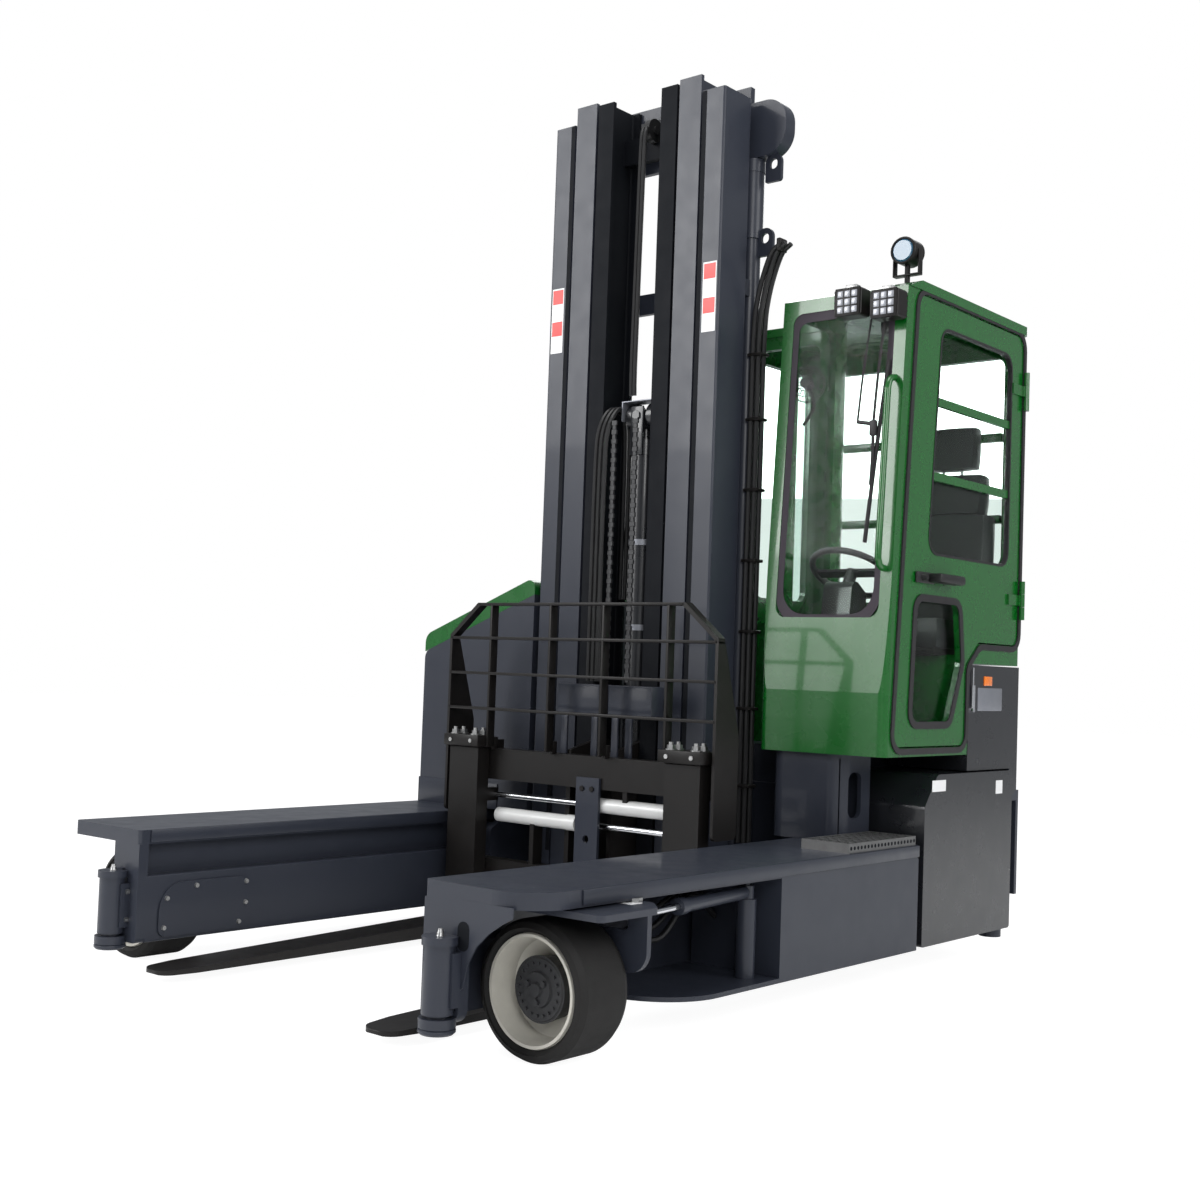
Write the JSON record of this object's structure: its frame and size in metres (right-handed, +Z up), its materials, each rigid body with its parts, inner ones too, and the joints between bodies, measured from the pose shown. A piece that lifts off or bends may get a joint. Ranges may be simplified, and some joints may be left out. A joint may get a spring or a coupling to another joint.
{
  "type": "multidirectional reach forklift",
  "caption": "Multidirectional forklift with a cab beside a reaching telescopic mast, steered wheels, load arms and shifting forks.",
  "frame": {"origin": "on the floor, in the middle of the vehicle's plan", "axes": "+Z up, +X towards the cab side, forks pointing to -Y"},
  "size_m": [2.3, 2.88, 3.225],
  "materials": {
    "slate": "satin",
    "green": "satin",
    "black": "satin",
    "rubber": "satin",
    "rim": "satin",
    "chrome": "satin",
    "white": "satin",
    "glass": "satin",
    "seat": "satin",
    "zinc": "satin",
    "tank": "satin",
    "iron": "satin",
    "lamp": "satin"
  },
  "bodies": {
    "chassis": {"arm_near": "slate", "arm_far": "slate", "step_tread": "zinc", "chassis_frame": "slate", "side_tank": "tank", "reach_barrel": "slate", "cab_shell": "green", "cab_roof": "green", "cab_glass": "glass", "cab_pedestal": "slate", "cab_hinges": "black", "driver_seat": "seat", "steering_console": "lamp", "engine_housing": "slate", "engine_block": "iron", "work_lights": "lamp"},
    "lid": {"engine_lid": "green"},
    "door": {"cab_door": "green", "door_glass": "glass"},
    "reach_carriage": {"mast_carriage": "slate", "reach_rod": "chrome"},
    "mast_base": {"mast_outer": "slate", "lift_barrels": "slate"},
    "tilt_tube": {"tilt_barrels": "slate"},
    "tilt_ram": {"tilt_rods": "chrome"},
    "mast_second": {"mast_middle": "slate", "lift_rods": "slate", "lift_sticks": "chrome"},
    "mast_third": {"mast_inner": "slate", "free_lift_barrel": "slate"},
    "free_ram": {"free_lift_rod": "slate"},
    "lift_carriage": {"fork_carriage": "black", "positioner_barrels": "white", "load_guard": "black"},
    "right_fork": {"fork_right": "black", "positioner_rod_right": "chrome"},
    "left_fork": {"fork_left": "black", "positioner_rod_left": "chrome"},
    "near_yoke": {"front_yoke_near": "slate"},
    "far_yoke": {"front_yoke_far": "slate"},
    "back_yoke": {"rear_yoke": "slate"},
    "near_wheel": {"front_tyre_near": "rubber", "front_rim_near": "rim"},
    "far_wheel": {"front_tyre_far": "rubber", "front_rim_far": "rim"},
    "back_wheel": {"rear_tyre": "rubber", "rear_rim_disc": "rim"},
    "near_ram_tube": {"steer_barrel_near": "slate"},
    "near_ram_rod": {"steer_rod_near": "chrome"},
    "far_ram_tube": {"steer_barrel_far": "slate"},
    "far_ram_rod": {"steer_rod_far": "chrome"},
    "near_foot": {"jack_foot_near": "zinc"},
    "far_foot": {"jack_foot_far": "zinc"}
  },
  "joints": [
    {"name": "near_steer", "type": "hinge", "parent": "chassis", "child": "near_yoke", "pos_m": [0.925, -1.14, 0.39], "axis": [0, 0, 1], "range_deg": [-90, 0]},
    {"name": "far_steer", "type": "hinge", "parent": "chassis", "child": "far_yoke", "pos_m": [-0.925, -1.14, 0.39], "axis": [0, 0, 1], "range_deg": [0, 90]},
    {"name": "rear_steer", "type": "hinge", "parent": "chassis", "child": "back_yoke", "pos_m": [0, 1.05, 0.48], "axis": [0, 0, 1], "range_deg": [-90, 90]},
    {"name": "near_wheel_spin", "type": "hinge", "parent": "near_yoke", "child": "near_wheel", "pos_m": [0.925, -1.14, 0.187], "axis": [0, 1, 0], "continuous": true},
    {"name": "far_wheel_spin", "type": "hinge", "parent": "far_yoke", "child": "far_wheel", "pos_m": [-0.925, -1.14, 0.187], "axis": [0, 1, 0], "continuous": true},
    {"name": "rear_wheel_spin", "type": "hinge", "parent": "back_yoke", "child": "back_wheel", "pos_m": [0, 1.05, 0.23], "axis": [0, 1, 0], "continuous": true},
    {"name": "near_ram_swing", "type": "hinge", "parent": "chassis", "child": "near_ram_tube", "pos_m": [0.97, -0.32, 0.37], "axis": [0, 0, 1], "range_deg": [-3, 3]},
    {"name": "far_ram_swing", "type": "hinge", "parent": "chassis", "child": "far_ram_tube", "pos_m": [-0.97, -0.32, 0.37], "axis": [0, 0, 1], "range_deg": [-3, 3]},
    {"name": "near_ram_stroke", "type": "slide", "parent": "near_ram_tube", "child": "near_ram_rod", "axis": [0.1244, -0.9922, 0], "range_m": [0, 0.32]},
    {"name": "far_ram_stroke", "type": "slide", "parent": "far_ram_tube", "child": "far_ram_rod", "axis": [-0.1244, -0.9922, 0], "range_m": [0, 0.32]},
    {"name": "near_jack", "type": "slide", "parent": "chassis", "child": "near_foot", "axis": [0, 0, -1], "range_m": [0, 0.06]},
    {"name": "far_jack", "type": "slide", "parent": "chassis", "child": "far_foot", "axis": [0, 0, -1], "range_m": [0, 0.06]},
    {"name": "reach", "type": "slide", "parent": "chassis", "child": "reach_carriage", "axis": [0, -1, 0], "range_m": [0, 0.74]},
    {"name": "mast_tilt", "type": "hinge", "parent": "reach_carriage", "child": "mast_base", "pos_m": [0, 0.3, 0.24], "axis": [1, 0, 0], "range_deg": [-5, 3]},
    {"name": "tilt_swing", "type": "hinge", "parent": "reach_carriage", "child": "tilt_tube", "pos_m": [0, 0.59, 0.49], "axis": [1, 0, 0], "range_deg": [-8, 8]},
    {"name": "tilt_stroke", "type": "slide", "parent": "tilt_tube", "child": "tilt_ram", "axis": [0, -0.669, 0.7433], "range_m": [-0.05, 0.05]},
    {"name": "mast_lift_second", "type": "slide", "parent": "mast_base", "child": "mast_second", "axis": [0, 0, 1], "range_m": [0, 1.9]},
    {"name": "mast_lift_third", "type": "slide", "parent": "mast_second", "child": "mast_third", "axis": [0, 0, 1], "range_m": [0, 1.9]},
    {"name": "free_lift_stroke", "type": "slide", "parent": "mast_third", "child": "free_ram", "axis": [0, 0, 1], "range_m": [0, 0.95]},
    {"name": "carriage_lift", "type": "slide", "parent": "mast_third", "child": "lift_carriage", "axis": [0, 0, 1], "range_m": [0, 1.9]},
    {"name": "right_fork_shift", "type": "slide", "parent": "lift_carriage", "child": "right_fork", "axis": [-1, 0, 0], "range_m": [0, 0.24]},
    {"name": "left_fork_shift", "type": "slide", "parent": "lift_carriage", "child": "left_fork", "axis": [1, 0, 0], "range_m": [0, 0.24]},
    {"name": "door_swing", "type": "hinge", "parent": "chassis", "child": "door", "pos_m": [1.044, 1.392, 1.6], "axis": [0, 0, 1], "range_deg": [0, 100]},
    {"name": "lid_swing", "type": "hinge", "parent": "chassis", "child": "lid", "pos_m": [-0.44, 0.8, 1.39], "axis": [0, 1, 0], "range_deg": [0, 55]}
  ],
  "couplings": [
    {"joint": "near_ram_swing", "follows": "near_steer", "ratio": -0.01224},
    {"joint": "far_ram_swing", "follows": "far_steer", "ratio": -0.01224},
    {"joint": "near_ram_stroke", "follows": "near_steer", "m_per_rad": -0.19855},
    {"joint": "far_ram_stroke", "follows": "far_steer", "m_per_rad": 0.19855},
    {"joint": "tilt_swing", "follows": "mast_tilt", "ratio": 0.95948},
    {"joint": "tilt_stroke", "follows": "mast_tilt", "m_per_rad": 0.3828},
    {"joint": "mast_lift_third", "follows": "mast_lift_second", "ratio": 1},
    {"joint": "free_lift_stroke", "follows": "carriage_lift", "ratio": 0.5}
  ]
}
